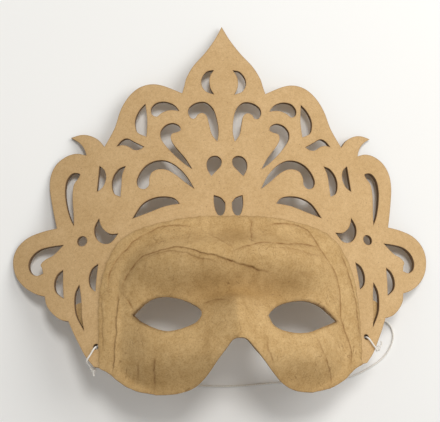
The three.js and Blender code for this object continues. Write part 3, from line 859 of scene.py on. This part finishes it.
# Main forms of the face, as in the CAD model: heights over the rim and where they are
RELIEF = {
    "side": 59,
    "side_power": 2.4,
    "top": -7,
    "top_drop": 27,
    "top_half_width": 61,
    "top_power": 5,
    "rise": 17,
    "body": 9,
    "brow": 6.5,
    "brow_at": -27,
    "brow_spread": 10,
    "cheek": 6,
    "cheek_at": (32, -73),
    "cheek_spread": (22, 13),
    "nose": 11,
    "nose_root": -30,
    "nose_length": 42,
    "nose_spread": 8,
    "flare": 6,
    "flare_at": -45,
    "flare_length": 40,
    "eye_hollow": 3,
    "eye_at": (33, -54),
    "eye_spread": (14, 9),
    "jaw_turn": 7,
    "jaw_at": -80,
    "jaw_length": 18,
}

# Forms too fine for the CAD's relief: (height, (across, up), (half width, half height))
CARVED = {
    "root of the nose": (-3.4, (0, -45), (16, 5)),
    "brow": (2.2, (24, -30), (24, 6.5)),
    "eye socket": (-2.4, (33, -48), (16, 6)),
    "cheek below the eye": (1.2, (34, -76), (16, 6)),
}
BRIDGE = {"height": 4.8, "top": -47, "start": 6, "spread": 5.5, "rounding": 1.2}


def spot(x, y, at, spread):
    """1 at a place, fading over its half width and half height."""
    return bell(y - at[1], spread[1]) * bell(x - at[0], spread[0])


def relief_height(x, y):
    """Height of the face over its pasted rim, as in the CAD model."""
    form = RELIEF
    across = np.abs(x)
    dome = np.maximum(1 - (across / form["side"]) ** form["side_power"], 0)
    shoulder = np.minimum(across / form["top_half_width"], 1) ** form["top_power"]
    rise = smooth((form["top"] - form["top_drop"] * shoulder - y) / form["rise"]) * dome
    brow = bell(y - form["brow_at"], form["brow_spread"]) * rise
    cheek = spot(across, y, form["cheek_at"], form["cheek_spread"]) * smooth(dome * 2)
    nose_spread = form["nose_spread"] + form["flare"] * smooth((form["flare_at"] - y) / form["flare_length"])
    nose = smooth((form["nose_root"] - y) / form["nose_length"]) * bell(across, nose_spread)
    height = (
        form["body"] * rise
        + form["brow"] * brow
        + form["cheek"] * cheek
        + form["nose"] * nose
        - form["eye_hollow"] * spot(across, y, form["eye_at"], form["eye_spread"])
        - form["jaw_turn"] * smooth((form["jaw_at"] - y) / form["jaw_length"])
    )
    return np.maximum(height, 0)


def relief_normal(x, y, share):
    """Unit normals over the relief, with a share of its slopes."""
    reach = 0.5
    slope_x = (relief_height(x + reach, y) - relief_height(x - reach, y)) / (2 * reach)
    slope_y = (relief_height(x, y + reach) - relief_height(x, y - reach)) / (2 * reach)
    return unit(np.stack([-slope_x * share, -slope_y * share, np.ones(len(x))], 1))


def carved_detail(x, y):
    """Sharper nose, brow and sockets than the CAD's coarser relief can carry."""
    across = np.abs(x)
    ridge = np.exp(-np.hypot(across, BRIDGE["rounding"]) / BRIDGE["spread"])
    detail = BRIDGE["height"] * ridge * smooth((BRIDGE["top"] - y) / BRIDGE["start"])
    for height, at, spread in CARVED.values():
        detail += height * spot(across, y, at, spread)
    return detail


# Where paste and damp darkened the paper, with painted shade under the brow, at the root of the nose and low
# on the cheeks: (depth, (across, up), (half width, half height))
STAINS_AND_SHADE = [
    (0.75, (-6, -45), (14.4, 6)),
    (0.6, (30, -44), (10.8, 6)),
    (0.15, (-34, -43), (12, 4.8)),
    (0.4, (8, -47), (7.2, 2.4)),
    (0.55, (2, -15), (5.4, 8.4)),
    (0.4, (-36, -91), (18, 5.4)),
    (0.5, (37, -92), (16.8, 5.4)),
    (0.3, (-16, -72), (4.8, 7.2)),
]


# paste stains and painted shade of the downward-facing parts, from 0 to 1 at each flat point
def stain_and_shade_of(flat):
    x, y = flat[:, 0], flat[:, 1]
    return np.clip(sum(depth * spot(x, y, at, spread) for depth, at, spread in STAINS_AND_SHADE), 0, 1)


def seam_lines():
    """Each seam as a finely wavering line, with its step and darkness."""
    lines = []
    for number, (points, step, dark) in enumerate(SEAMS):
        line = wobble(spline(points, SEAM_STEP), *SEAM_WAVER, SLICE["seam waver"] + number)
        line = wobble(line, *SEAM_TEARING, SLICE["seam tearing"] + number)
        lines.append((line, step, dark))
    return lines


def seam_relief(flat, lines):
    """Raised paper beside each seam, the dark crease along it and painted shadow on its lower side."""
    height = np.zeros(len(flat))
    crease_and_shadow = np.zeros(len(flat))
    for line, step, dark in lines:
        distance = line_distance(flat, *segments_of(line, closed=False), signed=True)
        tips = np.minimum(*(np.linalg.norm(flat - tip, axis=1) for tip in (line[0], line[-1])))
        faded = smooth(tips / SEAM_FADE)
        proud = smooth((distance + 0.15) / SEAM_RISE) * np.exp(-np.maximum(distance, 0) / SEAM_FADE)
        groove = GROOVE_DEPTH * bell(distance, GROOVE_WIDTH)
        height += SEAM_DEPTH * step * proud * faded - groove * faded
        shade = sum(depth * bell(distance - at, wide) for depth, at, wide in CREASE_AND_SHADOW_BANDS)
        # painted shadow below each step
        shade += STEP_SHADOW_DEPTH * np.exp(np.minimum(distance, 0) / STEP_SHADOW_WIDTH) * (distance < 0)
        crease_and_shadow = np.maximum(crease_and_shadow, dark * shade * (0.35 + 0.65 * faded))
    worn = 0.85 + 0.8 * smooth_noise(flat, WEAR_GRAIN, WEAR_GRAIN, SLICE["crease wear"])
    return height, crease_and_shadow * np.clip(worn, 0.25, 1.3)


# Lumps and fine wrinkles that pasted paper dries with: (height, grain across, grain up, slice)
LUMPS = [(0.2, 9, 9, 1.5), (0.1, 3.4, 4.2, 4.5), (0.05, 1.5, 2.2, 8.5)]


def paper_noise(flat):
    return sum(height * smooth_noise(flat, *grain, slice_at) for height, *grain, slice_at in LUMPS)


def face_edge(side, slice_at):
    """Torn rim of one half of the face, and its whole edge from the brow to the nose."""
    rim = wobble(spline(RIM_EDGE, FACE_STEP)[:-1], *RIM_TEAR, slice_at)
    cheek = wobble(spline(CHEEK_EDGE, FACE_STEP)[:-1], *CHEEK_CUT, slice_at + 1)
    return rim, np.vstack([rim, cheek, spline(NOSE_EDGE[side], FACE_STEP)])


def face_rings():
    """Outline of the face, its two eyes, and the part of the outline that is pasted down."""
    right_rim, right = face_edge(1, SLICE["right edge"])
    left_rim, left = face_edge(-1, SLICE["left edge"])
    right[0, 0] = left[0, 0] = 0
    left[0, 1] = right[0, 1]
    outline = np.vstack([right, mirrored(left)[1:-1]])
    eyes = [
        wobble(ring_of(RIGHT_EYE, EYE_STEP), *EYE_CUT, SLICE["right eye"]),
        wobble(mirrored(ring_of(LEFT_EYE, EYE_STEP)), *EYE_CUT, SLICE["left eye"]),
    ]
    return outline, eyes, [right_rim, mirrored(left_rim)]


def face_points(rings, lines):
    """Points for the mesh: rows beside the seams, a grid between them and a row along the edges."""
    beside = []
    for line in lines:
        normal = left_of(np.gradient(line, axis=0))
        beside += [line + away * normal for away in SEAM_ROWS]
    beside = clear_of(np.vstack(beside), rings, SEAM_CLEARANCE)
    grid = scatter(rings, FACE_GRID, FACE_MARGIN, SLICE["face grid"])
    grid = grid[distance_to(grid, lines, closed=False) > SEAM_MARGIN]
    return np.vstack([beside, grid, edge_band(rings, FACE_EDGE_ROW)])


def face_sheets(flat, from_rim, steps):
    """Front and back of the half mask over its flat points."""
    x, y = flat[:, 0], flat[:, 1]
    layer = RIM_THICKNESS + RIM_GAIN * smooth(from_rim / RIM_REACH)
    bare = relief_height(x, y)
    relief = np.maximum(bare + carved_detail(x, y) * smooth(bare / DETAIL_START), 0)
    even_z = board_height(x) + PASTE_GAP + layer + relief
    front_z = even_z + steps + paper_noise(flat) * smooth(from_rim / LUMP_START)
    grown = smooth((relief - 0.2) / SHELL_START)
    thickness = layer + (SHELL_THICKNESS - (RIM_THICKNESS + RIM_GAIN)) * grown
    back = np.stack([x, y, even_z], 1) - relief_normal(x, y, grown) * thickness[:, None]
    back[:, 2] = np.minimum(back[:, 2], front_z - LEAST_THICKNESS)
    return np.stack([x, y, front_z], 1), back


def edge_darkening_and_wall_shade(flat, rings, eyes):
    """How dark the cut edges are: faint all round, and with painted shade of the cut's wall along the eyes,
    most at their outer corners.
    """
    near_edge = 0.35 * np.exp(-distance_to(flat, rings) / 0.55)
    corner = spot(np.abs(flat[:, 0]), flat[:, 1], EYE_CORNER, EYE_CORNER_SPREAD)
    # painted shade of the cut wall along the eyes, most at their outer corners
    near_eye = bell(distance_to(flat, eyes), 0.45 + 0.45 * corner) * (0.45 + 0.6 * corner)
    return np.clip(np.maximum(near_edge, near_eye), 0, 1)


def make_face():
    outline, eyes, rims = face_rings()
    rings = [outline, *eyes]
    seams = seam_lines()
    flat, faces = triangulated(rings, face_points(rings, [line for line, *_ in seams]))
    steps, crease_and_shadow = seam_relief(flat, seams)
    front, back = face_sheets(flat, distance_to(flat, rims, closed=False), steps)
    sheet, used = closed_sheet(faces, front, back)
    crease_and_shadow = crease_and_shadow[used]
    stain_and_shade = stain_and_shade_of(flat[used])
    cut_and_shade = edge_darkening_and_wall_shade(flat[used], rings, eyes)
    flaps = [make_flap(side) for side in (1, -1)]
    plain = np.zeros(sum(len(vertices) for vertices, _ in flaps))
    values = {
        "crease_and_shadow": np.concatenate([crease_and_shadow, crease_and_shadow * BACK_CREASE, plain]),
        "stain_and_shade": np.concatenate([stain_and_shade, stain_and_shade, plain]),
        "cut_and_shade": np.concatenate([cut_and_shade, cut_and_shade * BACK_CUT, plain]),
    }
    return build(
        "paper_half_mask", [sheet, *flaps], [KRAFT_PAPER, TORN_EDGE], values, ["face_shell"]
    )


def make_flap(side):
    """Temple of the half mask: it swings from the shell's back to behind the arm."""
    outer = wobble(ring_of(FLAP_EDGE, FLAP_STEP), *FLAP_CUT, SLICE["flap edge"] + side)
    rings = [outer, circle(HOLE_AT[side], HOLE_RADIUS, FLAP_HOLE_SIDES)]
    flat, faces = triangulated(rings, scatter(rings, FLAP_GRID, FLAP_MARGIN, SLICE["flap grid"]))
    x, y = flat[:, 0], flat[:, 1]
    behind = -BOARD_THICKNESS - FLAP_GAP
    shell_back = RIM_THICKNESS + RIM_GAIN + relief_height(x, y) - SHELL_THICKNESS
    joined = smooth((FLAP_START - x) / FLAP_SWING)
    top = behind + (shell_back + FLAP_OVERLAP - behind) * joined
    lumps = paper_noise(flat) * FLAP_LUMPS * (1 - joined)
    front = bend(x, y, top)
    back = bend(x, y, top - FLAP_THICKNESS + lumps)
    flip = [side, 1, 1]
    turned = faces[:, ::side]  # a mirrored face runs round the other way
    sheet, _ = closed_sheet(turned, front * flip, back * flip)
    return sheet


# Elastic: its slack middle in the resting pose before the centring shift, in millimetres
CORD_RUN = [
    (-71.6, -82.2, 33.3), (-70.2, -80.8, 25), (-68, -79.4, 16), (-65, -79.4, 8), (-61, -80.6, 2.8),
    (-55.6, -82.8, 0.8), (-47, -86.2, 0.7), (-32, -91, 0.7), (-14, -94.2, 0.7), (0, -94.9, 0.7),
    (14, -94.5, 0.7), (32, -93.3, 0.7), (53, -92.8, 0.7), (71.5, -90.4, 0.7), (82.4, -85.4, 0.7),
    (89.6, -80.2, 0.7), (94, -74, 0.7), (95.4, -68, 0.7), (93.6, -62.6, 0.7), (89.2, -59.4, 0.7),
    (84, -59.6, 0.7), (79.8, -62.4, 1), (77.8, -66.2, 3.4), (77.8, -69.4, 8.8), (78.4, -71.6, 16),
    (79.2, -72.9, 24.6), (79.5, -73.3, 30.1),
]


def even_spline(points, gap):
    """Points about a gap apart on the centripetal curve through a route."""
    route = [Vector(p) for p in points]
    route = [route[0] * 2 - route[1], *route, route[-1] * 2 - route[-2]]
    found = []
    for p0, p1, p2, p3 in zip(route, route[1:], route[2:], route[3:]):
        k0, k1, k2 = ((b - a).length ** 0.5 for a, b in ((p0, p1), (p1, p2), (p2, p3)))
        v1 = ((p1 - p0) / k0 - (p2 - p0) / (k0 + k1) + (p2 - p1) / k1) * k1
        v2 = ((p2 - p1) / k1 - (p3 - p1) / (k1 + k2) + (p3 - p2) / k2) * k1
        steps = max(int((p2 - p1).length / gap), 1)
        for s in range(steps):
            t = s / steps
            cubic = (2 * p1 - 2 * p2 + v1 + v2) * t**3
            found.append(cubic + (3 * p2 - 3 * p1 - 2 * v1 - v2) * t**2 + v1 * t + p1)
    return [*found, route[-2]]


def make_cord():
    shift = Vector((0, CENTRE_SHIFT, 0))
    line = [(p + shift) / METRE for p in even_spline(CORD_RUN, CORD_STEP)]
    curve = bpy.data.curves.new("elastic", "CURVE")
    curve.dimensions = "3D"
    curve.bevel_depth = CORD_RADIUS / METRE
    curve.bevel_resolution = 3
    curve.use_fill_caps = True
    path = curve.splines.new("POLY")
    path.points.add(len(line) - 1)
    for point, place in zip(path.points, line):
        point.co = (*place, 1)
    path.use_smooth = True
    curve.materials.append(WHITE_ELASTIC)
    cord = add_object("elastic_run", curve)
    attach(cord, "root")
    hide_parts("elastic_cord")
    length = sum((b - a).length for a, b in zip(line, line[1:]))
    return cord, line, length


def swept(points, radius, sides):
    """Round closed tube along points: vertices and faces."""
    count = len(points)
    across = Vector((0, 0, 1))
    vertices, faces = [], []
    for i, point in enumerate(points):
        ahead = (points[min(i + 1, count - 1)] - points[max(i - 1, 0)]).normalized()
        across = across - ahead * across.dot(ahead)
        if across.length < 1e-3:
            across = ahead.orthogonal()
        across.normalize()
        other = ahead.cross(across)
        for k in range(sides):
            angle = 2 * math.pi * k / sides
            vertices.append(point + radius * (math.cos(angle) * across + math.sin(angle) * other))
    for i in range(count - 1):
        for k in range(sides):
            a = i * sides + k
            b = i * sides + (k + 1) % sides
            faces.append((a, b, b + sides, a + sides))
    last = (count - 1) * sides
    faces.append(tuple(reversed(range(sides))))
    faces.append(tuple(range(last, last + sides)))
    return np.array([tuple(v) for v in vertices]), [(face, FACE) for face in faces]


TIES = {
    "left": {
        "side": -1,
        "strand": [
            (75.2, -80.4, -4.6), (73.8, -76.4, -5), (72.6, -72.4, -5.2), (71.9, -70.1, -5),
            (71.9, -69.6, -3.4), (71.9, -69.6, -0.8), (72, -69.9, 0.5), (72.7, -71, 1.2),
            (74.4, -73.6, 1.3), (76, -75.8, 1.2), (76.9, -76.9, 0.4), (77.2, -77.4, -1.2),
            (76.6, -78.4, -3), (75.2, -80.4, -4.6),
        ],
        "tail": [(75.2, -80.4, -4.6), (74.8, -82.4, -4.2), (74.6, -84.2, -4)],
    },
    "right": {
        "side": 1,
        "strand": [
            (82.8, -70.8, -2.4), (80.6, -69.6, -4.6), (77.6, -67.8, -5.2), (74.8, -66.4, -5.2),
            (73.8, -66.1, -3.4), (73.8, -66.1, -0.8), (74, -66.4, 0.5), (75, -67.6, 1.2),
            (76.8, -70, 1.3), (78.6, -72.1, 1.2), (79.6, -73, 0.4), (80.6, -72.8, -0.8),
            (81.8, -71.8, -1.8), (82.8, -70.8, -2.4),
        ],
        "tail": [(82.8, -70.8, -2.4), (84.4, -69.4, -1.6), (84.2, -67.4, -1.2)],
    },
}
STRAND_SIDES = 12
KNOT_STEPS = 72


def overhand_knot(centre, radius):
    """Drawn-up overhand knot: a small trefoil of the cord."""
    points = []
    for k in range(KNOT_STEPS + 1):
        t = 2 * math.pi * k / KNOT_STEPS
        loop = Vector((
            math.sin(t) + 2 * math.sin(2 * t),
            math.cos(t) - 2 * math.cos(2 * t),
            -1.5 * math.sin(3 * t),
        ))
        points.append(centre + loop * radius / 3)
    return points


def make_tie(name, side, strand, tail):
    """Strand through the hole and round the board's edge, with its knot and its tail."""
    strand, tail = ([Vector(bend(*p) * [side, 1, 1]) for p in points] for points in (strand, tail))
    runs = [
        even_spline(strand, STRAND_STEP),
        even_spline(tail, TAIL_STEP),
        overhand_knot(strand[0], KNOT_RADIUS),
    ]
    parts = [swept(run, STRAND_RADIUS, STRAND_SIDES) for run in runs]
    return build(
        f"elastic_tie_{name}", parts, [WHITE_ELASTIC], {}, [f"tie_{name}"], sharp=1.2
    )


cord, cord_line, cord_length = make_cord()
ties = [make_tie(name, **tie) for name, tie in TIES.items()]
make_board()
make_face()


# Floor and light, in metres and watts
FLOOR_REACH = 3
FLOOR_TONES = [(0.3, (0.86, 0.86, 0.845)), (0.7, (0.89, 0.89, 0.88))]
LIGHTS = {
    "key": {"place": (0.5, 0.26, 0.6), "size": 0.7, "power": 3.5},
    "overhead": {"place": (0, 0.52, 1.5), "size": 0.36, "power": 9.1},
}
LIGHT_COLOUR = (1.0, 0.985, 0.96)
WORLD_COLOUR = (1.0, 0.99, 0.97, 1)
WORLD_STRENGTH = 0.36


def make_floor():
    paint = Paint("pale_floor")
    tone = paint.noise(paint.place(), 3, detail=2, roughness=0.5)
    mesh = bpy.data.meshes.new("floor")
    corners = [(x * FLOOR_REACH, y * FLOOR_REACH, 0) for x, y in ((-1, -1), (1, -1), (1, 1), (-1, 1))]
    mesh.from_pydata(corners, [], [(0, 1, 2, 3)])
    mesh.materials.append(paint.finish(paint.ramp(tone, FLOOR_TONES), 0.7))
    add_object("floor", mesh)


def make_light(name, place, size, power):
    """Round soft light that faces the mask."""
    data = bpy.data.lights.new(name, "AREA")
    data.shape = "DISK"
    data.size = size
    data.energy = power
    data.color = LIGHT_COLOUR
    light = add_object(name, data)
    light.location = place
    light.rotation_euler = (-Vector(place)).to_track_quat("-Z", "Y").to_euler()


def make_world():
    world = bpy.data.worlds.new("studio")
    world.use_nodes = True
    background = world.node_tree.nodes["Background"]
    background.inputs["Color"].default_value = WORLD_COLOUR
    background.inputs["Strength"].default_value = WORLD_STRENGTH
    bpy.context.scene.world = world
    bpy.context.scene.view_settings.view_transform = "Standard"


make_floor()
for name, light in LIGHTS.items():
    make_light(name, **light)
make_world()
